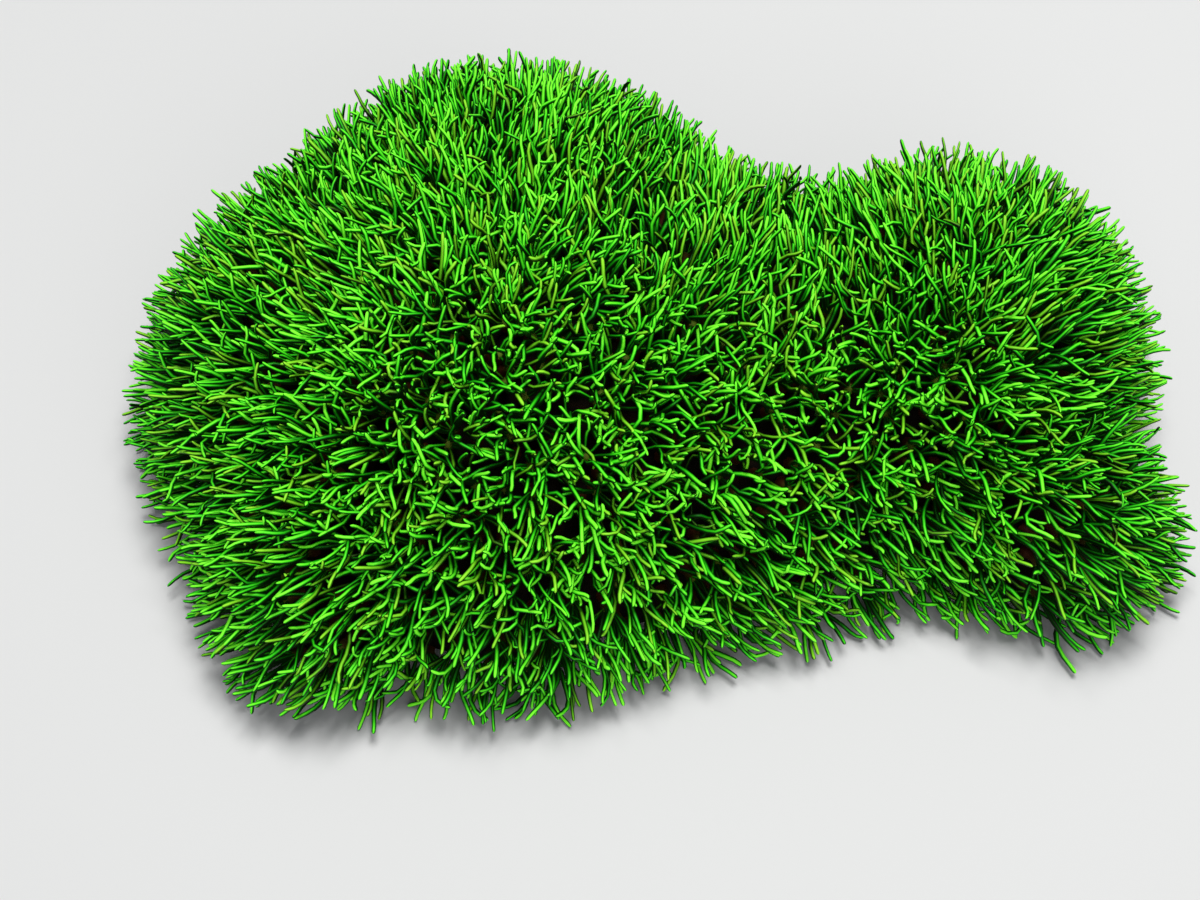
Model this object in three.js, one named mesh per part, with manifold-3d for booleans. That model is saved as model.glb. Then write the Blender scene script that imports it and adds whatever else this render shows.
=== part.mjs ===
// A green star polyp colony: one living mat that has grown over a two-headed mound, with a
// close crop of polyps on it, each with a crown of eight tapering tentacles. It is cut off flat
// underneath, where it grew on rock, and rests on the cut.
// Millimetres, +Z up. The origin is the middle of the colony's box, on the flat cut.

import * as THREE from "three";
import { mergeVertices } from "three/addons/utils/BufferGeometryUtils.js";
import Module from "manifold-3d";

const wasm = await Module();
wasm.setup();

// The mat's surface is the smooth union of these rounded lobes: a centre and three half-widths.
const LOBES = {
  leftDome: { centre: [-25, -1, 8], radii: [40, 48, 40] },
  leftFlank: { centre: [-56, -3, 5], radii: [21, 28, 28] },
  frontLeftShoulder: { centre: [-51.5, -25, 5], radii: [15, 26, 26] },
  saddle: { centre: [12, -5, 4], radii: [34, 33.5, 31] },
  rightDome: { centre: [48, -1, 8], radii: [25, 30, 32] },
  frontRightShoulder: { centre: [61.5, -27, 5], radii: [13.5, 11, 24] },
  backRightShoulder: { centre: [56.5, 7, 5], radii: [13, 14, 24] },
};
const LOBE_BLEND = 3; // higher numbers leave a sharper crease between two lobes
const HEART = new THREE.Vector3(0, 0, 6); // every point of the mat is in plain view from here
const PLACE = new THREE.Vector3(1.4, 2.25, 0); // brings the middle of the colony's box to the origin
const FURTHEST_MAT = 130; // no point of the mat is further from the heart

const POLYP_SPACING = 8.4; // between the middles of neighbouring polyps
const MOUTH_HEIGHT = 2.6; // of the middle of a polyp above the mat
const CROWN_HEIGHT = 10.5; // of the longest tentacle tips above the mat
const SHORTEST_TENTACLE = 0.74; // of the crown's height
const CROWN_FLARE = [0.62, 0.94]; // where tips stand between a polyp's middle and its edge
const TIP_SWAY = 0.3; // how far tips wander along a polyp's edge
const LATTICE_SWAY = 0.2; // how far polyps wander from an even layout, in spacings
const EVENING_ROUNDS = 8; // each round evens out the spacing over the mat's humps

const LOWEST_POLAR = 122; // degrees from the top at which the uncut body is closed off
const SKIRT_DEPTH = 90; // of the point that closes the uncut body, below the cut
const FIXED_BELOW = -5; // points lower than this keep their place as the layout is evened out
const BARE_BELOW = 0.5; // polyps whose middle is lower than this have been cut away

const randomFrom = (seed) => () => {
  seed = (seed + 0x6d2b79f5) | 0;
  let t = Math.imul(seed ^ (seed >>> 15), 1 | seed);
  t = (t + Math.imul(t ^ (t >>> 7), 61 | t)) ^ t;
  return ((t ^ (t >>> 14)) >>> 0) / 4294967296;
};
const random = randomFrom(2024);
const randomBetween = (low, high) => low + (high - low) * random();

// Above 0 inside the mat, 0 on its surface.
function matField(p) {
  let sum = -1;
  for (const { centre, radii } of Object.values(LOBES)) {
    const x = (p.x - centre[0]) / radii[0];
    const y = (p.y - centre[1]) / radii[1];
    const z = (p.z - centre[2]) / radii[2];
    sum += Math.exp(-LOBE_BLEND * (x * x + y * y + z * z - 1));
  }
  return sum;
}

// The point of the mat seen from the heart at an azimuth and at a polar angle from straight up.
function matPoint(azimuth, polar) {
  const direction = new THREE.Vector3().setFromSphericalCoords(1, polar, 0);
  direction.set(direction.z * Math.cos(azimuth), direction.z * Math.sin(azimuth), direction.y);
  let near = 0;
  let far = FURTHEST_MAT;
  for (let i = 0; i < 24; i++) {
    const middle = (near + far) / 2;
    const inside = matField(HEART.clone().addScaledVector(direction, middle)) > 0;
    if (inside) near = middle;
    else far = middle;
  }
  return HEART.clone().addScaledVector(direction, near);
}

// The point of the mat in the same direction from the heart as a point near it.
function ontoMat(point) {
  const way = point.clone().sub(HEART);
  return matPoint(Math.atan2(way.y, way.x), Math.atan2(Math.hypot(way.x, way.y), way.z));
}

// The mat's outward normal: the steepest way down its field.
function matNormal(point) {
  const step = 0.05;
  const slope = (axis) => {
    const ahead = point.clone().addScaledVector(axis, step);
    const behind = point.clone().addScaledVector(axis, -step);
    return matField(behind) - matField(ahead);
  };
  return new THREE.Vector3(
    slope(new THREE.Vector3(1, 0, 0)),
    slope(new THREE.Vector3(0, 1, 0)),
    slope(new THREE.Vector3(0, 0, 1)),
  ).normalize();
}

// A plan of the mat rolled out flat: a plan point's direction is the azimuth, and its distance
// from the middle is the way walked over the mat from its top. Undefined past the lowest polar.
function rolledOut(plan) {
  const azimuth = Math.atan2(plan.y, plan.x);
  const distance = plan.length();
  const step = THREE.MathUtils.degToRad(2);
  let walked = 0;
  let last = matPoint(azimuth, 0);
  for (let polar = step; polar <= THREE.MathUtils.degToRad(LOWEST_POLAR); polar += step) {
    const next = matPoint(azimuth, polar);
    const stride = next.distanceTo(last);
    if (walked + stride >= distance) {
      return matPoint(azimuth, polar - step + (step * (distance - walked)) / stride);
    }
    walked += stride;
    last = next;
  }
  return undefined;
}

// Points shared by neighbouring polyps are made once, under a key from their even-layout place.
class SharedPoints {
  constructor() {
    this.points = [];
    this.byKey = new Map();
  }

  add(position) {
    this.points.push(position);
    return this.points.length - 1;
  }

  onMat(plan, sway) {
    const key = `${Math.round(plan.x * 100)},${Math.round(plan.y * 100)}`;
    if (!this.byKey.has(key)) {
      const moved = plan.clone();
      moved.x += randomBetween(-sway, sway);
      moved.y += randomBetween(-sway, sway);
      const place = rolledOut(moved);
      this.byKey.set(key, place && this.add(place));
    }
    return this.byKey.get(key);
  }
}

// The eight edge points of a polyp's patch of mat: the corners of a hexagon, and the middles of
// its left and right sides.
function patchEdge(middle) {
  const corner = POLYP_SPACING / Math.sqrt(3);
  const edge = [];
  for (let i = 0; i < 6; i++) {
    const angle = THREE.MathUtils.degToRad(60 * i + 30);
    edge.push(new THREE.Vector2(Math.cos(angle), Math.sin(angle)).multiplyScalar(corner).add(middle));
  }
  const half = POLYP_SPACING / 2;
  edge.splice(3, 0, new THREE.Vector2(-half, 0).add(middle));
  edge.push(new THREE.Vector2(half, 0).add(middle));
  return edge;
}

// A tentacle's tip over one side of the patch. It stays over its own side, so that no two
// tentacles cross: both ends of its range are raised along the mat's own normals.
function tentacleTip(mouth, from, to) {
  const along = 0.5 + randomBetween(-TIP_SWAY, TIP_SWAY);
  const height = CROWN_HEIGHT * randomBetween(SHORTEST_TENTACLE, 1);
  const side = from.clone().lerp(to, along);
  const overSide = side.addScaledVector(matNormal(side), height);
  const overMouth = mouth.clone().addScaledVector(matNormal(mouth), height);
  return overMouth.lerp(overSide, randomBetween(...CROWN_FLARE));
}

// The patches of mat that polyps stand on, each as the numbers of its middle and edge points.
function layOutPatches(shared) {
  const sway = LATTICE_SWAY * POLYP_SPACING;
  const rowHeight = POLYP_SPACING * Math.sqrt(0.75);
  const rows = Math.ceil(FURTHEST_MAT / rowHeight);
  const patches = [];
  for (let row = -rows; row <= rows; row++) {
    for (let column = -rows; column <= rows; column++) {
      const stagger = row % 2 === 0 ? 0 : 0.5;
      const plan = new THREE.Vector2((column + stagger) * POLYP_SPACING, row * rowHeight);
      const edge = patchEdge(plan).map((p) => shared.onMat(p, sway));
      const middle = shared.onMat(plan, sway);
      if (middle !== undefined && !edge.includes(undefined)) patches.push({ middle, edge });
    }
  }
  return patches;
}

// Moves every point halfway to the mean of its neighbours, over the mat, a few times.
function evenOut(points, patches) {
  const neighbours = points.map(() => new Set());
  const join = (a, b) => neighbours[a].add(b) && neighbours[b].add(a);
  for (const { middle, edge } of patches) {
    edge.forEach((point, i) => join(point, edge[(i + 1) % edge.length]) && join(point, middle));
  }
  for (let round = 0; round < EVENING_ROUNDS; round++) {
    const means = points.map((point, i) => {
      const mean = new THREE.Vector3();
      neighbours[i].forEach((n) => mean.addScaledVector(points[n], 1 / neighbours[i].size));
      return mean.lerp(point, 0.5);
    });
    points.forEach((point, i) => {
      if (point.z > FIXED_BELOW && neighbours[i].size > 0) point.copy(ontoMat(means[i]));
    });
  }
}

// One polyp: its patch of mat drawn up to a mouth in the middle, and a tentacle on each side.
function addPolyp({ middle, edge }, shared, triangles) {
  const foot = shared.points[middle].clone();
  const cutAway = foot.z < BARE_BELOW;
  if (!cutAway) shared.points[middle].addScaledVector(matNormal(foot), MOUTH_HEIGHT);
  for (let i = 0; i < edge.length; i++) {
    const from = edge[i];
    const to = edge[(i + 1) % edge.length];
    if (cutAway) {
      triangles.push([middle, from, to]);
      continue;
    }
    const tip = shared.add(tentacleTip(foot, shared.points[from], shared.points[to]));
    triangles.push([middle, from, tip], [from, to, tip], [to, middle, tip]);
  }
}

// Closes the body under its last row of polyps, down to one point far below the cut.
function addSkirt(shared, triangles) {
  const used = new Set(triangles.flatMap(([a, b, c]) => [`${a},${b}`, `${b},${c}`, `${c},${a}`]));
  const bottom = shared.add(new THREE.Vector3(0, 0, -SKIRT_DEPTH));
  for (const way of used) {
    const [a, b] = way.split(",").map(Number);
    if (!used.has(`${b},${a}`)) triangles.push([b, a, bottom]);
  }
}

function uncutBody() {
  const shared = new SharedPoints();
  const patches = layOutPatches(shared);
  evenOut(shared.points, patches);
  const triangles = [];
  patches.forEach((patch) => addPolyp(patch, shared, triangles));
  addSkirt(shared, triangles);
  return new THREE.BufferGeometry().setFromPoints(shared.points).setIndex(triangles.flat());
}

function solidOf(geometry) {
  const bare = geometry.clone().deleteAttribute("normal").deleteAttribute("uv");
  const merged = mergeVertices(bare, 1e-4);
  return new wasm.Manifold(
    new wasm.Mesh({
      numProp: 3,
      vertProperties: merged.attributes.position.array,
      triVerts: new Uint32Array(merged.index.array),
    }),
  );
}

function geometryOf(solid) {
  const mesh = solid.getMesh();
  const geometry = new THREE.BufferGeometry()
    .setAttribute("position", new THREE.BufferAttribute(mesh.vertProperties, 3))
    .setIndex(new THREE.BufferAttribute(mesh.triVerts, 1))
    .toNonIndexed();
  geometry.computeVertexNormals();
  return geometry;
}

// Everything under the cut goes, with any tentacle end that the cut has parted from the colony.
function cutFlat(solid) {
  const wide = 4 * FURTHEST_MAT;
  const above = new THREE.BoxGeometry(wide, wide, FURTHEST_MAT).translate(0, 0, FURTHEST_MAT / 2);
  const pieces = solid.intersect(solidOf(above)).decompose();
  return pieces.reduce((most, piece) => (piece.volume() > most.volume() ? piece : most));
}

const greenFlesh = new THREE.MeshStandardMaterial({
  color: new THREE.Color().setRGB(0.24, 0.8, 0.09, THREE.SRGBColorSpace),
  roughness: 0.45,
  metalness: 0,
});

const colony = new THREE.Mesh(geometryOf(cutFlat(solidOf(uncutBody()))), greenFlesh);
colony.name = "colony";
colony.position.copy(PLACE);

const greenStarPolyp = new THREE.Group();
greenStarPolyp.add(colony);

export default greenStarPolyp;
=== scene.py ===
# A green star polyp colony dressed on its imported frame: one dark living mat over a two-headed
# mound, and the polyps that grow on it, each a short stalk with a crown of eight tentacles.
# Metres, +Z up. The colony rests on its flat cut at z = 0.

import math

import bpy
import numpy as np
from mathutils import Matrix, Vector


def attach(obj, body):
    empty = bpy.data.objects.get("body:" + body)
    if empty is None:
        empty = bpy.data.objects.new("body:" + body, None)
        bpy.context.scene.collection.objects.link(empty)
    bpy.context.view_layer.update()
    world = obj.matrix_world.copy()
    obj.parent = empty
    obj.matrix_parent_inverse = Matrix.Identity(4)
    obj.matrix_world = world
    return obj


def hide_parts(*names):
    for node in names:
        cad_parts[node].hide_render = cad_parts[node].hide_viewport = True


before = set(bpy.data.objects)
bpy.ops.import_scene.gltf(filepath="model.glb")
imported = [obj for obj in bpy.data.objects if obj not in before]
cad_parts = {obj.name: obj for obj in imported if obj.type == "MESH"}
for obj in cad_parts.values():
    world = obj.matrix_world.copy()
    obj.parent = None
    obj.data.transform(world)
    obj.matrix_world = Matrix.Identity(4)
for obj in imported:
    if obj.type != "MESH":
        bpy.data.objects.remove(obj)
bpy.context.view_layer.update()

MM = 0.001
SEED = 5
UP = np.array([0.0, 0.0, 1.0])
ON_CUT = np.array([1.0, 1.0, 0.0])  # times a place: the place on the cut straight below it

# The mat, as in the part's source: the smooth union of rounded lobes, each a middle and three
# half-widths, moved so that the middle of the colony's box is the origin.
LOBES = {
    "left dome": ((-25, -1, 8), (40, 48, 40)),
    "left flank": ((-56, -3, 5), (21, 28, 28)),
    "front left shoulder": ((-51.5, -25, 5), (15, 26, 26)),
    "saddle": ((12, -5, 4), (34, 33.5, 31)),
    "right dome": ((48, -1, 8), (25, 30, 32)),
    "front right shoulder": ((61.5, -27, 5), (13.5, 11, 24)),
    "back right shoulder": ((56.5, 7, 5), (13, 14, 24)),
}
PLACE = MM * np.array([1.4, 2.25, 0.0])
LOBE_MIDDLES = MM * np.array([middle for middle, _ in LOBES.values()]) + PLACE
LOBE_HALF_WIDTHS = MM * np.array([half_widths for _, half_widths in LOBES.values()])
LOBE_BLEND = 3
HEART = PLACE + MM * np.array([0.0, 0.0, 6.0])  # every point of the mat is in plain view from here
FURTHEST_MAT = 130 * MM
HALVINGS = 26  # of that distance, to find a place on the mat
MAT_LEVEL = -2.5 * MM  # what the lobes' half-widths grow by for the mat, so its polyps have room
CROWN_LEVEL = 7.5 * MM  # and for the surface that the middles of the crowns lie on
MAT_RINGS = 84
MAT_SIDES = 240
MAT_TOP = 0.01  # the polar angle of the ring round the mat's top, as a share of the lowest ring's
MOUND_HEIGHT = 0.6 * MM  # of the low swelling of the mat round each foot
MOUND_WIDTH = 1.4 * MM

# Where polyps stand: their crowns are spread evenly, and their stalks lead down to the mat.
CROWN_SPACING = 4.55 * MM  # on top
FLANK_SPARSENESS = 0.45  # how much further apart crowns are on steep flanks, as a share
FRONT_SPARSENESS = 0.06  # and how much more on the front
LOWEST_CROWN = 1.5 * MM
LOWEST_FOOT = 0.8 * MM
DEEP_DOWN = 22 * MM  # from a crown along its axis, a place that is inside the mat
LOWEST_TRIAL = -0.4  # of a trial way's climb, where 1 is straight up
TRIAL_PLACES = 150_000
EVENING_ROUNDS = 3

# A polyp: a stalk up to its disc, and tentacles from the disc's rim. The profile gives heights as
# shares of the stalk's height, and widths as shares of the disc's radius.
STALK_HEIGHT = (2.0 * MM, 3.4 * MM)
DISC_RADIUS = 0.85 * MM
STALK_SIDES = 8
STALK_PROFILE = ((-0.4, 1.5), (0.1, 1.3), (0.5, 0.85), (0.93, 1.1), (1.0, 1.0))
MOUTH_HEIGHT = 1.06  # the middle of the disc, as a share of the stalk's height
LOWEST_STALK = 0.15 * MM

# How polyps lean and bend: alone, with their neighbours, up by the cut, and combed. Polyps are
# combed away from the parting, a line seen from above, but on the front away from its middle.
OWN_LEAN = 0.13
OWN_BEND = 0.28
SWELL_LEAN = 0.08
SWELL_BEND = 0.22
SWELL_LENGTHS = (22 * MM, 60 * MM)
SWELL_WAVES = 6
RIM_LIFT = 0.45  # how far polyps by the cut look up instead of out
RIM_HEIGHT = 6 * MM  # over which that fades
COMBED_LEAN = 0.3
COMBED_BEND = 0.38
PARTING = MM * np.array([[-23, -23.5], [39, -18.5]])
CALM_WIDTH = (9 * MM, 1 * MM)  # where combing starts, from the parting's left and right end
COMBED_WIDTH = (42 * MM, 20 * MM)  # and where it is full
FRONT_MIDDLE = MM * np.array([-5, -6])
FRONT_SWEEP = np.array([2.4, 0.5])  # times the combing there, sideways and forwards

# Tentacles: how they leave the disc, run and end. Lengths are shares of a tentacle's length where
# nothing else is said, and angles are in degrees from the polyp's axis.
TENTACLES = 8
TENTACLE_LENGTH = (7.0 * MM, 11.2 * MM)
FURTHEST_TIP = (2.0 * MM, 5.2 * MM)  # beyond the surface of the crowns, for most and for a few
ROOT_HEIGHT = 0.95  # as a share of the stalk's height
ROOT_REACH = 0.72  # as a share of the disc's radius
PLACE_SPREAD = 0.2  # of the roots round the disc, as a share of their spacing
LEAVING = 30
LEAVING_SPREAD = 10
ARRIVING = 28
ARRIVING_SPREAD = 27
OPENNESS = (6, 14)  # how much more all of one polyp's tentacles leave and arrive
TWIST_SPREAD = 56
WAVINESS = 18
HOOKED_SHARE = 0.42  # of the tentacles
HOOK = (30, 95)
HOOK_START = 0.45
HOOK_LENGTH = 0.5
LEAST_CLIMB = 0.1
LOWEST_MIDLINE = 0.55 * MM
LIFT_SOFTNESS = 1.2 * MM

# What is different on the combed flanks.
EXPOSED_ANGLES = (4, -16)  # how much more tentacles leave and arrive
EXPOSED_LENGTH = 0.14  # how much longer they are
EXPOSED_CALM = 0.42  # how much less they stray
EXPOSED_TAPER = 0.2  # how much thinner their ends are
FRONT_UNREST = 1.0  # the share of that calm and taper which is lost on the front

# How thick a tentacle is along its length.
TENTACLE_RADIUS = 0.4 * MM
RADIUS_SPREAD = 0.11
RADIUS_LIMITS = (0.75, 1.3)  # as shares of the radius
ROOT_THICKNESS = 0.7
END_THICKNESS = 0.8
ROOT_LENGTH = 0.4
END_LENGTH = 0.5
TIP_LENGTH = 0.05  # of the rounded end
TENTACLE_SIDES = 5
RING_SHARES = np.array([0, 0.2, 0.4, 0.58, 0.74, 0.87, 0.955, 0.985])
# Painted highlight: each tentacle's skin carries a painted sunlit line on the side that faces up
# and, this far, out of the mound.
SUNWARD_LEAN = 0.6  # how far the sunny side of a tentacle faces out of the mound, not only up
STRETCHES = ("left_end", "left_head", "saddle", "right_head", "right_end")

# Tones, from 0 for shaded to 1 for sunlit: how they differ from polyp to polyp and beyond.
TONES = 32  # the strips of the skin's chart
MIDDLE_TONE = 0.5
OWN_TONE = 0.12
SWELL_TONE = 0.1
TENTACLE_TONE = 0.18
# Painted shade: polyps on the steep combed flanks are made duller, as if less light fell there than
# on top.
PAINTED_FLANK_SHADE = 0.12  # how much duller polyps are on the combed flanks
SHADED_TONE = 0.08  # and low on the front, where little light reaches
SHADED_HEIGHT = 34 * MM
SKIN_CHART = "OFBake"
CHART_ENDS = (0.01, 0.99)  # where a tube's root and tip lie along the chart
STRIP_MARGIN = 0.1  # of a strip, left free on both sides of the tube

# The camera of the photograph: what its middle looks at, from how high and how far.
AIM = MM * np.array([-8.1, -5.75, 0.0])
CAMERA_ELEVATION = math.radians(64)
CAMERA_DISTANCE = 430 * MM
FOCAL_PIXELS = 2570
IMAGE_WIDTH = 1200
SENSOR_WIDTH = 36

# The studio: each lamp's place, width and power, what they face, and the room around them.
LAMPS = {
    "key": ((0.04, 0.06, 0.82), 0.3, 5.8),
    "fill": ((0.3, -0.8, 0.5), 0.9, 1.8),
}
LAMP_AIM = (0, 0, 20 * MM)
ROOM_COLOUR = (0.9, 0.95, 1.0, 1.0)
ROOM_LIGHT = 0.16
FLOOR_HALF = 3.0
FLOOR_COLOUR = (0.8, 0.8, 0.79, 1.0)


def unit(vectors):
    """Each vector divided by its length."""
    return vectors / np.linalg.norm(vectors, axis=-1, keepdims=True)


def between(rng, limits, shape):
    """Even random numbers from the lower limit to the upper."""
    return rng.uniform(limits[0], limits[1], shape)


def smooth(share):
    """3 s^2 - 2 s^3, with s held between 0 and 1."""
    s = np.clip(share, 0, 1)
    return s * s * (3 - 2 * s)


def steepness(normals):
    """0 on level ground, 1 where the surface is upright or hangs over."""
    return 1 - np.clip(normals[:, 2], 0, 1)


def frontness(normals):
    """0 where the surface faces sideways or back, and up to 1 where it faces the front."""
    return smooth(-normals[:, 1])


def lobe_weights(points, level):
    """For each lobe, exp(-blend * (|(point - middle) / half-widths|^2 - 1))."""
    away = (points[..., None, :] - LOBE_MIDDLES) / (LOBE_HALF_WIDTHS + level)
    return np.exp(-LOBE_BLEND * ((away**2).sum(-1) - 1))


def onto_surface(ways, level, start=HEART):
    """A level's points along ways from a start inside it: where the lobe weights add up to 1,
    found by halving the stretch that holds the place."""
    near = np.zeros(ways.shape[:-1])
    far = np.full(ways.shape[:-1], FURTHEST_MAT)
    for _ in range(HALVINGS):
        middle = (near + far) / 2
        inside = lobe_weights(start + middle[..., None] * ways, level).sum(-1) > 1
        near = np.where(inside, middle, near)
        far = np.where(inside, far, middle)
    return start + near[..., None] * ways


def surface_normals(points, level):
    """The steepest way out: the sum of weight * (point - middle) / half-widths^2, made a unit."""
    pull = (points[..., None, :] - LOBE_MIDDLES) / (LOBE_HALF_WIDTHS + level) ** 2
    return unit((lobe_weights(points, level)[..., None] * pull).sum(-2))


def distances(these, those):
    """Every distance from these points to those: the root of |a|^2 + |b|^2 - 2 a.b."""
    squared = (these**2).sum(-1)[:, None] + (those**2).sum(-1) - 2 * these @ those.T
    return np.sqrt(np.maximum(squared, 0))


def trial_places(rng):
    """Random places on the crowns' level, as many to each part of it as crowns should stand
    there, with how far apart crowns are at each, and the number of crowns: one to a hexagon of
    the spacing."""
    climb = rng.uniform(LOWEST_TRIAL, 1, TRIAL_PLACES)
    azimuth = rng.uniform(0, 2 * math.pi, TRIAL_PLACES)
    level = np.sqrt(1 - climb**2)
    ways = np.stack([level * np.cos(azimuth), level * np.sin(azimuth), climb], -1)
    places = onto_surface(ways, CROWN_LEVEL)
    reach = np.linalg.norm(places - HEART, axis=-1)
    normals = surface_normals(places, CROWN_LEVEL)
    apart = 1 + FLANK_SPARSENESS * steepness(normals) + FRONT_SPARSENESS * frontness(normals)
    room = reach**2 / (ways * normals).sum(-1) / apart**2
    above = places[:, 2] > LOWEST_CROWN
    crown_room = 2 * math.pi * (1 - LOWEST_TRIAL) * (room * above).mean()
    kept = above & (rng.random(TRIAL_PLACES) < room / room[above].max())
    count = round(crown_room / (CROWN_SPACING**2 * math.sqrt(0.75)))
    return places[kept], apart[kept], count


def spread_crowns(rng):
    """The middles of the crowns: of the trial places, the one furthest from those chosen is chosen
    next, where distances count for less where crowns are further apart. Each then moves to the
    mean of the places nearest to it."""
    places, apart, count = trial_places(rng)
    chosen = [0]
    gap = np.linalg.norm(places - places[0], axis=-1) / apart
    for _ in range(count - 1):
        chosen.append(int(gap.argmax()))
        gap = np.minimum(gap, np.linalg.norm(places - places[chosen[-1]], axis=-1) / apart)
    crowns = places[chosen]
    for _ in range(EVENING_ROUNDS):
        nearest = distances(places, crowns).argmin(1)
        shares = np.maximum(np.bincount(nearest, minlength=count), 1)
        sums = [np.bincount(nearest, axis, minlength=count) for axis in places.T]
        crowns = onto_surface(unit(np.stack(sums, -1) / shares[:, None] - HEART), CROWN_LEVEL)
    return crowns


def combing(points):
    """How far polyps are combed, from nothing at the calm width from the parting to 1 at the
    combed width, and the level push that combs them: away from the nearest point of the parting,
    or on the front away from its middle, and there more sideways than forwards."""
    start, end = PARTING
    along = np.clip((points[:, :2] - start) @ (end - start) / ((end - start) ** 2).sum(), 0, 1)
    away = points[:, :2] - start - along[:, None] * (end - start)
    distance = np.linalg.norm(away, axis=-1, keepdims=True)
    calm = np.interp(along, (0, 1), CALM_WIDTH)[:, None]
    combed = np.interp(along, (0, 1), COMBED_WIDTH)[:, None]
    share = smooth((distance - calm) / (combed - calm))
    front = smooth(-away[:, 1:] / distance)
    way = unit((1 - front) * away / distance + front * unit(points[:, :2] - FRONT_MIDDLE))
    push = share * way * (1 + front * (FRONT_SWEEP - 1))
    return share[:, 0], np.pad(push, ((0, 0), (0, 1)))


def swell(rng, points):
    """A slowly changing direction over the colony: a mean of sine waves, each with its own way,
    wavelength, phase and push."""
    waves = unit(rng.normal(size=(SWELL_WAVES, 3)))
    waves *= 2 * math.pi / between(rng, SWELL_LENGTHS, (SWELL_WAVES, 1))
    phases = rng.uniform(0, 2 * math.pi, SWELL_WAVES)
    pushes = unit(rng.normal(size=(SWELL_WAVES, 3)))
    return np.sin(points @ waves.T + phases) @ pushes / math.sqrt(SWELL_WAVES / 2)


class Polyps:
    """The place and bearing of every polyp: it stands on its foot along its axis, which is the
    crown's normal with every lean added. Its bend and tone are sums too. It is exposed as far as
    it is combed and the mound is steep, and settled as far as it is exposed but not in front."""

    def __init__(self, rng):
        crowns = spread_crowns(rng)
        normals = surface_normals(crowns, CROWN_LEVEL)
        lean = SWELL_LEAN * swell(rng, crowns) + OWN_LEAN * rng.normal(size=crowns.shape)
        combed, push = combing(crowns)
        lean += COMBED_LEAN * push
        lean[:, 2] += RIM_LIFT * np.exp(-crowns[:, 2] / RIM_HEIGHT)
        axes = unit(normals + lean)
        feet = onto_surface(axes, MAT_LEVEL, start=crowns - DEEP_DOWN * axes)

        kept = feet[:, 2] > LOWEST_FOOT
        self.crowns, self.normals = crowns[kept], normals[kept]
        self.axes, self.feet = axes[kept], feet[kept]
        self.exposed = combed[kept] * (1 + steepness(self.normals)) / 2
        self.settled = self.exposed * (1 - FRONT_UNREST * frontness(self.normals))
        self.count = len(self.feet)
        self.rise = between(rng, STALK_HEIGHT, self.count)
        self.sides = unit(np.cross(self.axes, unit(rng.normal(size=self.feet.shape))))
        self.acrosses = np.cross(self.axes, self.sides)
        self.bends = SWELL_BEND * swell(rng, self.feet)
        self.bends += OWN_BEND * rng.normal(size=self.feet.shape) + COMBED_BEND * push[kept]
        self.tones = MIDDLE_TONE + OWN_TONE * rng.normal(size=self.count)
        # Painted shade lowers the tone on the steep combed flanks and, below, low on the front.
        self.tones += SWELL_TONE * swell(rng, self.feet)[:, 0] - PAINTED_FLANK_SHADE * self.exposed
        low = smooth(1 - self.crowns[:, 2] / SHADED_HEIGHT)
        self.tones -= SHADED_TONE * frontness(self.normals) * low

    def outward(self, angles):
        """cos(angle) * side + sin(angle) * across: directions round each polyp's axis."""
        side = self.sides[:, None, :] * np.cos(angles)[..., None]
        return side + self.acrosses[:, None, :] * np.sin(angles)[..., None]


def closed_tubes(name, rings, roots, tips, tones, strips=TONES, flat_root=False):
    """One piece of many closed tubes. rings is tube x ring x side x 3, counter-clockwise seen
    from the tip; roots and tips close the ends. On the chart, x runs from root to tip, and y
    goes once round the tube within the strip of its tone."""
    count, ring_count, sides, _ = rings.shape
    body = ring_count * sides
    points = np.concatenate([rings.reshape(count, body, 3), roots[:, None], tips[:, None]], 1)

    # One tube's faces, by the ring and side of each corner: the wall, and fans to tip and root.
    i, j = np.meshgrid(np.arange(ring_count - 1), np.arange(sides), indexing="ij")
    i, j = i.ravel(), j.ravel()
    side = np.arange(sides)
    first = np.zeros(sides, int)
    last = first + ring_count - 1
    wall = np.stack([i, i, i + 1, i + 1], 1), np.stack([j, j + 1, j + 1, j], 1)
    end = np.stack([last, last, last + 1], 1), np.stack([side, side + 1, side], 1)
    start = np.stack([first, first, first - 1], 1), np.stack([side + 1, side, side], 1)

    corner_ring = np.concatenate([faces[0].ravel() for faces in (wall, end, start)])
    corner_side = np.concatenate([faces[1].ravel() for faces in (wall, end, start)])
    vertex = corner_ring * sides + corner_side % sides
    vertex[corner_ring == ring_count] = body + 1
    vertex[corner_ring < 0] = body
    sizes = np.concatenate([np.full(len(wall[0]), 4), np.full(2 * sides, 3)])

    mesh = bpy.data.meshes.new(name)
    mesh.vertices.add(points.shape[0] * points.shape[1])
    mesh.vertices.foreach_set("co", points.astype(np.float32).ravel())
    tube = np.arange(count)[:, None]
    corners = (vertex + tube * (body + 2)).ravel()
    mesh.loops.add(len(corners))
    mesh.loops.foreach_set("vertex_index", corners.astype(np.int32))
    starts = (np.cumsum(sizes) - sizes + tube * len(vertex)).ravel()
    mesh.polygons.add(len(starts))
    mesh.polygons.foreach_set("loop_start", starts.astype(np.int32))
    rounded = np.ones((count, len(sizes)), bool)
    rounded[:, -sides:] = not flat_root
    mesh.polygons.foreach_set("use_smooth", rounded.ravel())

    along = np.clip((corner_ring + 1) / (ring_count + 1), *CHART_ENDS)
    round_it = STRIP_MARGIN + (1 - 2 * STRIP_MARGIN) * corner_side / sides
    strip = np.clip(np.floor(tones * strips), 0, strips - 1)[:, None]
    chart = np.stack([np.broadcast_to(along, (count, len(along))), (strip + round_it) / strips], -1)
    layer = mesh.uv_layers.new(name=SKIN_CHART)
    layer.uv.foreach_set("vector", chart.astype(np.float32).ravel())
    mesh.update(calc_edges=True)
    mesh.validate()
    piece = bpy.data.objects.new(name, mesh)
    bpy.context.scene.collection.objects.link(piece)
    return piece


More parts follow.
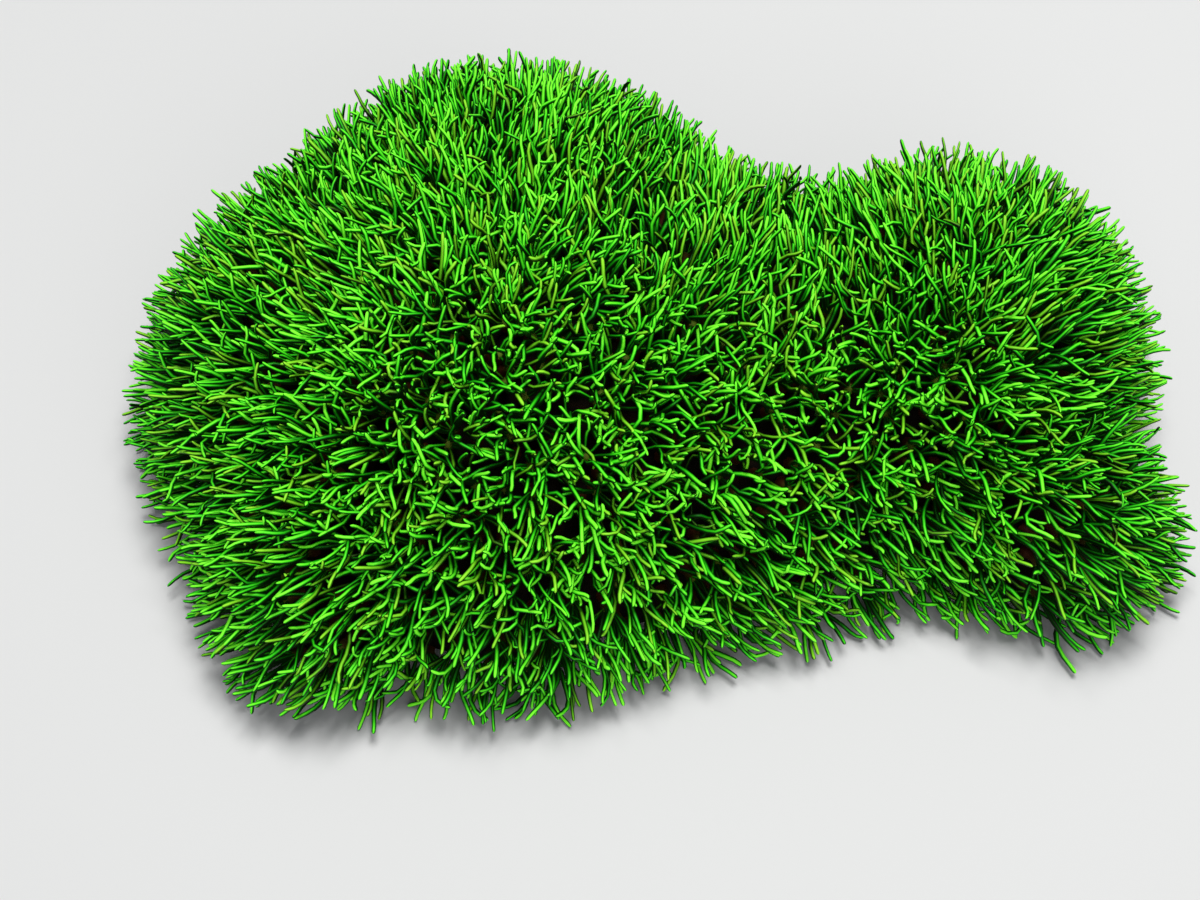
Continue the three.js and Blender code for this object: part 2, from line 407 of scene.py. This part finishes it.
def mat_piece(polyps):
    """The mat: over azimuth a and share s, the mat's point at azimuth a and polar angle s times
    the angle at which it meets the cut, raised by exp(-(distance to a foot / width)^2)."""
    azimuths = np.linspace(0, 2 * math.pi, MAT_SIDES, endpoint=False)
    level = np.stack([np.cos(azimuths), np.sin(azimuths), np.zeros(MAT_SIDES)], -1)
    below = HEART * ON_CUT
    edge = onto_surface(level, MAT_LEVEL, start=below)
    lowest = math.pi / 2 + np.arctan2(HEART[2], np.linalg.norm(edge - below, axis=-1))
    polar = np.linspace(1, MAT_TOP, MAT_RINGS)[:, None] * lowest
    ways = level * np.sin(polar)[..., None] + UP * np.cos(polar)[..., None]
    skin = onto_surface(ways, MAT_LEVEL)
    skin[0, :, 2] = 0
    near = distances(skin.reshape(-1, 3), polyps.feet).min(1).reshape(MAT_RINGS, MAT_SIDES, 1)
    raised = MOUND_HEIGHT * np.exp(-((near / MOUND_WIDTH) ** 2))
    raised[0] = 0
    skin += raised * surface_normals(skin, MAT_LEVEL)
    skin[..., 2] = np.maximum(skin[..., 2], 0)
    top = onto_surface(UP[None], MAT_LEVEL)
    return closed_tubes("mat", skin[None], below[None], top, np.zeros(1), strips=1, flat_root=True)


def stalk_piece(polyps):
    """Stalks: the profile of height and radius turned round each polyp's axis."""
    heights, widths = np.array(STALK_PROFILE).T
    angles = np.linspace(0, 2 * math.pi, STALK_SIDES, endpoint=False)
    outward = polyps.outward(np.broadcast_to(angles, (polyps.count, STALK_SIDES)))
    climb = polyps.axes * polyps.rise[:, None]
    middles = polyps.feet[:, None] + heights[:, None] * climb[:, None]
    rings = middles[:, :, None] + DISC_RADIUS * widths[:, None, None] * outward[:, None]
    rings[..., 2] = np.maximum(rings[..., 2], LOWEST_STALK)
    tips = polyps.feet + MOUTH_HEIGHT * climb
    return closed_tubes("stalks", rings, rings[:, 0].mean(1), tips, polyps.tones)


def tentacle_angles(rng, polyps, shape):
    """In radians, the angles to the axis at which tentacles leave and arrive, their twist, and
    the hook that some of them have: a middle and a random spread, which is smaller where polyps
    are settled."""
    exposed = polyps.exposed[:, None]
    calm = 1 - EXPOSED_CALM * polyps.settled[:, None]
    openness = rng.normal(0, 1, (polyps.count, 1)) * calm
    leave = LEAVING + EXPOSED_ANGLES[0] * exposed + OPENNESS[0] * openness
    leave = leave + LEAVING_SPREAD * calm * rng.normal(size=shape)
    arrive = ARRIVING + EXPOSED_ANGLES[1] * exposed + OPENNESS[1] * openness
    arrive = arrive + ARRIVING_SPREAD * calm * rng.normal(size=shape)
    twist = TWIST_SPREAD * calm * rng.normal(size=shape)
    hooked = rng.random(shape) < HOOKED_SHARE
    hook = calm * hooked * between(rng, HOOK, shape) * rng.choice([-1, 1], shape)
    return np.radians(leave), np.radians(arrive), np.radians(twist), np.radians(hook)


def tentacle_midlines(rng, polyps):
    """Midlines: from the rim of the disc, the running sum of steps that lie at an angle
    leave + (arrive - leave) * s + hook * smooth((s - start) / length) to the axis, and turned
    sideways by twist * s, at share s of the length, both with a sine wave added, and with s^2 of
    the polyp's bend. No tip goes further out than its limit, and no midline sinks lower than a
    soft floor."""
    shape = (polyps.count, TENTACLES)
    shares = RING_SHARES
    leave, arrive, twist, hook = tentacle_angles(rng, polyps, shape)
    length = between(rng, TENTACLE_LENGTH, shape)
    length = length * (1 + EXPOSED_LENGTH * polyps.exposed[:, None])
    spacing = 2 * math.pi / TENTACLES
    angles = spacing * (np.arange(TENTACLES) + PLACE_SPREAD * rng.normal(size=shape))
    outward = polyps.outward(angles)
    sideways = polyps.outward(angles + math.pi / 2)
    wave = np.radians(WAVINESS * rng.normal(size=(2, *shape, 1))) * np.sin(2 * math.pi * shares)

    lean = leave[..., None] + (arrive - leave)[..., None] * shares
    lean = lean + hook[..., None] * smooth((shares - HOOK_START) / HOOK_LENGTH) + wave[0]
    turn = twist[..., None] * shares + 2 * wave[1]
    aside = np.cos(turn)[..., None] * outward[:, :, None]
    aside = aside + np.sin(turn)[..., None] * sideways[:, :, None]
    steps = np.cos(lean)[..., None] * polyps.axes[:, None, None] + np.sin(lean)[..., None] * aside
    steps = unit(steps + polyps.bends[:, None, None] * shares[:, None] ** 2)
    strides = (steps[:, :, 1:] + steps[:, :, :-1]) / 2 * np.diff(shares)[:, None]
    walked = np.concatenate([np.zeros((*shape, 1, 3)), np.cumsum(strides, 2)], 2)

    disc = polyps.feet + ROOT_HEIGHT * polyps.rise[:, None] * polyps.axes
    roots = disc[:, None] + ROOT_REACH * DISC_RADIUS * outward
    furthest = np.interp(rng.random((polyps.count, 1)) ** 2, (0, 1), FURTHEST_TIP)
    headroom = furthest + ((polyps.crowns[:, None] - roots) * polyps.normals[:, None]).sum(-1)
    climb = (walked[:, :, -1] * polyps.normals[:, None]).sum(-1)
    length = np.minimum(length, headroom / np.maximum(climb, LEAST_CLIMB))
    midlines = roots[:, :, None] + length[..., None, None] * walked
    over = (midlines[..., 2] - LOWEST_MIDLINE) / LIFT_SOFTNESS
    midlines[..., 2] = LOWEST_MIDLINE + LIFT_SOFTNESS * np.logaddexp(0, over)
    return midlines


def tentacle_radii(rng, polyps):
    """Radii: grown from the root as smooth(s / root length), thinned as
    smooth((s - 1 + end length) / end length), and ended as sqrt(1 - t^2) over the tip."""
    shares = RING_SHARES
    swelling = ROOT_THICKNESS + (1 - ROOT_THICKNESS) * smooth(shares / ROOT_LENGTH)
    taper = 1 - END_THICKNESS + EXPOSED_TAPER * polyps.settled[:, None, None]
    swelling = swelling - taper * smooth((shares - 1 + END_LENGTH) / END_LENGTH)
    end = np.clip((shares - 1 + TIP_LENGTH) / TIP_LENGTH, 0, 1)
    thickness = 1 + RADIUS_SPREAD * rng.normal(size=(polyps.count, TENTACLES))
    thickness = TENTACLE_RADIUS * np.clip(thickness, *RADIUS_LIMITS)
    return thickness[..., None] * swelling * np.sqrt(1 - end**2)


def tentacle_pieces(rng, polyps):
    """Tentacles: a circle carried along each midline, which starts on the shaded side, so that the
    painted sunlit line of the skin's chart lies on the side that faces up and out of the mound. The
    pieces are stretches of the colony from left to right."""
    midlines = tentacle_midlines(rng, polyps)
    radii = tentacle_radii(rng, polyps)
    tones = polyps.tones[:, None] + TENTACLE_TONE * rng.normal(size=(polyps.count, TENTACLES))
    ahead = unit(np.gradient(midlines, RING_SHARES, axis=2))
    sunward = unit(SUNWARD_LEAN * polyps.normals + UP)[:, None, None]
    side = unit((sunward * ahead).sum(-1, keepdims=True) * ahead - sunward)
    across = np.cross(ahead, side)
    angles = np.linspace(0, 2 * math.pi, TENTACLE_SIDES, endpoint=False)[:, None]
    circle = np.cos(angles) * side[..., None, :] + np.sin(angles) * across[..., None, :]
    rings = midlines[..., None, :] + radii[..., None, None] * circle
    tips = midlines[:, :, -1] + (1 - RING_SHARES[-1]) * TENTACLE_LENGTH[1] * ahead[:, :, -1]

    groups = np.array_split(np.argsort(polyps.feet[:, 0]), len(STRETCHES))
    return [
        closed_tubes(
            f"tentacles_{stretch}",
            rings[group].reshape(-1, len(RING_SHARES), TENTACLE_SIDES, 3),
            midlines[group, :, 0].reshape(-1, 3),
            tips[group].reshape(-1, 3),
            tones[group].ravel(),
        )
        for stretch, group in zip(STRETCHES, groups)
    ]


class Socket:
    """A node's output. Sums, products and the like of sockets and numbers add Math nodes."""

    def __init__(self, finish, output):
        self.finish = finish
        self.output = output

    def maths(self, operation, *values):
        values = dict(enumerate(values))
        return self.finish.node("ShaderNodeMath", {"operation": operation}, values)

    def __add__(self, other):
        return self.maths("ADD", self, other)

    __radd__ = __add__

    def __sub__(self, other):
        return self.maths("SUBTRACT", self, other)

    def __rsub__(self, other):
        return self.maths("SUBTRACT", other, self)

    def __mul__(self, other):
        return self.maths("MULTIPLY", self, other)

    __rmul__ = __mul__

    def __truediv__(self, other):
        return self.maths("DIVIDE", self, other)

    def __rtruediv__(self, other):
        return self.maths("DIVIDE", other, self)

    def __pow__(self, other):
        return self.maths("POWER", self, other)

    def __rpow__(self, other):
        return self.maths("POWER", other, self)

    def above(self, limit):
        return self.maths("GREATER_THAN", self, limit)

    def wave(self):
        return self.maths("COSINE", self)

    def whole(self):
        return self.maths("FLOOR", self)

    def part(self):
        return self.maths("FRACT", self)


class Finish:
    """A material: a Principled shader and the nodes that feed it."""

    def __init__(self, name, **constants):
        self.material = bpy.data.materials.new(name)
        self.material.use_nodes = True
        self.tree = self.material.node_tree
        self.shader = self.tree.nodes["Principled BSDF"]
        self.shade(**constants)

    def node(self, kind, settings=None, values=None, output=0):
        """Adds a node: its settings first, a ramp's stops among them, then its sockets."""
        node = self.tree.nodes.new(kind)
        for setting, value in (settings or {}).items():
            if setting == "stops":
                elements = node.color_ramp.elements
                while len(elements) < len(value):
                    elements.new(1)
                for element, (position, colour) in zip(elements, value):
                    element.position = position
                    element.color = (*colour, 1)
            else:
                setattr(node, setting, value)
        for socket, value in (values or {}).items():
            self.feed(node.inputs[socket], value)
        return Socket(self, node.outputs[output])

    def feed(self, socket, value):
        """Sets a socket to a number or colour, or links it."""
        if isinstance(value, Socket):
            self.tree.links.new(value.output, socket)
        else:
            socket.default_value = value

    def shade(self, **values):
        """Feeds the shader's sockets."""
        for socket, value in values.items():
            self.feed(self.shader.inputs[socket.replace("_", " ")], value)

    def chart(self):
        """The place on the skin's chart, and its shares along and round the skin."""
        place = self.node("ShaderNodeUVMap", {"uv_map": SKIN_CHART})
        along = self.node("ShaderNodeSeparateXYZ", None, {0: place}, "X")
        return place, along, Socket(self, along.output.node.outputs["Y"])

    def ramp(self, stops, share):
        """A colour that passes through each stop's as the share passes its position."""
        return self.node("ShaderNodeValToRGB", {"stops": stops}, {"Fac": share})

    def noise(self, place, scale, detail):
        """Soft random patches, from 0 to 1."""
        values = {"Vector": place, "Scale": scale, "Detail": detail}
        return self.node("ShaderNodeTexNoise", None, values)

    def blend(self, share, first, second):
        """A colour that goes from the first to the second."""
        settings = {"data_type": "RGBA", "clamp_factor": True}
        return self.node("ShaderNodeMix", settings, {0: share, 6: first, 7: second}, 2)


def srgb(red, green, blue):
    """A colour, read as 0 to 255, as the linear numbers that shaders use."""
    values = np.array([red, green, blue]) / 255
    linear = np.where(values < 0.04045, values / 12.92, ((values + 0.055) / 1.055) ** 2.4)
    return tuple(float(value) for value in linear)


def tentacle_finish():
    """Living tentacle: dark olive at the root, darkened to nearly black there by painted shade down
    among the polyps, pure green along it and lime at the tip. Its place on the colour ramps climbs
    along it, and is higher for a high tone and on a painted sunlit line: rise + reach * (tone -
    1/2) + reach * (mottle - 1/2) + reach * line - offset, where line is painted light along the
    side that faces up and out, and offset is painted shade all round it. It glows with painted
    light in greens, brightest where the place is high."""
    tone_reach = 0.5
    mottle_reach = 0.16
    painted_sunlit_reach = 0.68
    painted_sunlit_sharpness = 8.0
    painted_shade_offset = 0.13
    olive_share = 0.18
    olive_strength = 0.55
    # Partly painted shade: the place stays low near the root, so tentacles darken to nearly black
    # down among the polyps, then climbs to lime at the tip.
    climb = [(0.0, 0.0), (0.27, 0.03), (0.5, 0.28), (0.73, 0.46), (1.0, 0.44)]
    flesh = [
        (0.0, srgb(4, 5, 2)),
        (0.2, srgb(5, 20, 2)),
        (0.38, srgb(5, 66, 3)),
        (0.54, srgb(12, 126, 6)),
        (0.68, srgb(38, 188, 18)),
        (0.8, srgb(80, 228, 34)),
        (1.0, srgb(132, 252, 56)),
    ]
    olive_flesh = [
        (0.0, srgb(6, 5, 2)),
        (0.3, srgb(24, 22, 4)),
        (0.5, srgb(64, 78, 10)),
        (0.75, srgb(128, 160, 26)),
        (1.0, srgb(176, 220, 50)),
    ]
    # Painted glow: the tentacles give off green light of their own, following this ramp.
    glow = [
        (0.0, srgb(4, 22, 2)),
        (0.4, srgb(5, 30, 2)),
        (0.55, srgb(6, 60, 3)),
        (0.75, srgb(48, 158, 16)),
        (1.0, srgb(104, 214, 36)),
    ]

    # Painted glow at this strength, on top of the lamps' light.
    skin = Finish("tentacle_flesh", Roughness=0.45, Specular_IOR_Level=0.12, Emission_Strength=0.45)
    chart, along, round_it = skin.chart()
    strips = round_it * TONES
    tone = strips.whole() / TONES
    rise = skin.ramp([(position, (height,) * 3) for position, height in climb], along)
    stretched = skin.node("ShaderNodeMapping", None, {"Vector": chart, "Scale": (5.0, 40.0, 1.0)})
    mottle = skin.noise(stretched, 1.6, 2.0)
    # Painted highlight: a bright line along the side of each tentacle that faces up and out.
    painted_sunlit_line = (((strips.part() - 0.5) * (2 * math.pi)).wave() * 0.5 + 0.5) ** painted_sunlit_sharpness
    place = rise + (tone - 0.5) * tone_reach + (mottle - 0.5) * mottle_reach
    # Painted shade: the offset darkens each tentacle all round, and the sunlit line lifts it back
    # on its lit side.
    place = place + painted_sunlit_line * painted_sunlit_reach - painted_shade_offset
    chance = skin.node("ShaderNodeTexWhiteNoise", {"noise_dimensions": "1D"}, {"W": strips.whole()})
    olive = chance.above(1 - olive_share) * olive_strength
    colour = skin.blend(olive, skin.ramp(flesh, place), skin.ramp(olive_flesh, place))
    painted_glow = skin.blend(olive, skin.ramp(glow, place), (0.0, 0.0, 0.0, 1.0))
    skin.shade(Base_Color=colour, Emission_Color=painted_glow)
    return skin.material


def stalk_finish():
    """Stalk and disc: dark maroon-brown below, olive green on the disc, and a faint painted glow in
    the same colours.
    """
    stops = [
        (0.0, srgb(50, 20, 15)),
        (0.45, srgb(62, 32, 15)),
        (0.75, srgb(66, 66, 16)),
        (1.0, srgb(90, 116, 26)),
    ]
    # Painted glow: the stalk gives off a faint light in its own colour.
    skin = Finish("stalk_flesh", Roughness=0.6, Specular_IOR_Level=0.1, Emission_Strength=0.05)
    _, along, _ = skin.chart()
    colour = skin.ramp(stops, along)
    skin.shade(Base_Color=colour, Emission_Color=colour)
    return skin.material


def mat_finish():
    """Mat: dark maroon flesh, mottled, with a fine wrinkled skin."""
    stops = [(0.3, srgb(10, 10, 5)), (0.55, srgb(20, 14, 8)), (0.75, srgb(40, 24, 13))]
    skin = Finish("mat_flesh", Roughness=0.8, Specular_IOR_Level=0.08)
    place = skin.node("ShaderNodeTexCoord", None, None, "Object")
    wrinkles = {"Strength": 0.5, "Distance": 0.3 * MM, "Height": skin.noise(place, 1400.0, 3.0)}
    skin.shade(
        Base_Color=skin.ramp(stops, skin.noise(place, 260.0, 4.0)),
        Normal=skin.node("ShaderNodeBump", None, wrinkles),
    )
    return skin.material


def floor_finish():
    """Plain pale matt board."""
    board = Finish("pale_board", Roughness=0.85, Specular_IOR_Level=0.2, Base_Color=FLOOR_COLOUR)
    return board.material


def dress_colony():
    """Makes the pieces, which take the place of the plain colony and ride its body."""
    rng = np.random.default_rng(SEED)
    polyps = Polyps(rng)
    tentacles = tentacle_pieces(rng, polyps)
    dressed = [(mat_piece(polyps), mat_finish()), (stalk_piece(polyps), stalk_finish())]
    flesh = tentacle_finish()
    dressed += [(piece, flesh) for piece in tentacles]
    for piece, finish in dressed:
        piece.data.materials.append(finish)
        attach(piece, "root")
        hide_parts("colony")


def make_floor():
    """A square board at the height of the cut, twice its half-width to a side."""
    half = FLOOR_HALF
    corners = [(-half, -half, 0), (half, -half, 0), (half, half, 0), (-half, half, 0)]
    mesh = bpy.data.meshes.new("floor")
    mesh.from_pydata(corners, [], [(0, 1, 2, 3)])
    mesh.materials.append(floor_finish())
    floor = bpy.data.objects.new("floor", mesh)
    bpy.context.scene.collection.objects.link(floor)


def look_at(thing, place, aim):
    """Stands a camera or light at a place, turned to look at another."""
    thing.location = place
    thing.rotation_euler = (Vector(aim) - Vector(place)).to_track_quat("-Z", "Y").to_euler()
    bpy.context.scene.collection.objects.link(thing)


def make_camera():
    """The photograph's view: its focal length in pixels, as a lens on the sensor."""
    lens = bpy.data.cameras.new("camera")
    lens.sensor_width = SENSOR_WIDTH
    lens.lens = FOCAL_PIXELS * SENSOR_WIDTH / IMAGE_WIDTH
    camera = bpy.data.objects.new("camera", lens)
    back = np.array([0, -math.cos(CAMERA_ELEVATION), math.sin(CAMERA_ELEVATION)])
    look_at(camera, AIM + CAMERA_DISTANCE * back, AIM)
    bpy.context.scene.camera = camera


def make_light():
    """Soft studio light: a lamp overhead, a wider and weaker one in front, and a pale room."""
    for name, (place, width, power) in LAMPS.items():
        lamp = bpy.data.lights.new(name, "AREA")
        lamp.size = width
        lamp.energy = power
        look_at(bpy.data.objects.new(name, lamp), place, LAMP_AIM)
    world = bpy.data.worlds.new("room")
    world.use_nodes = True
    background = world.node_tree.nodes["Background"].inputs
    background["Color"].default_value = ROOM_COLOUR
    background["Strength"].default_value = ROOM_LIGHT
    bpy.context.scene.world = world
    bpy.context.scene.view_settings.view_transform = "Standard"


make_camera()
make_light()
make_floor()
dress_colony()
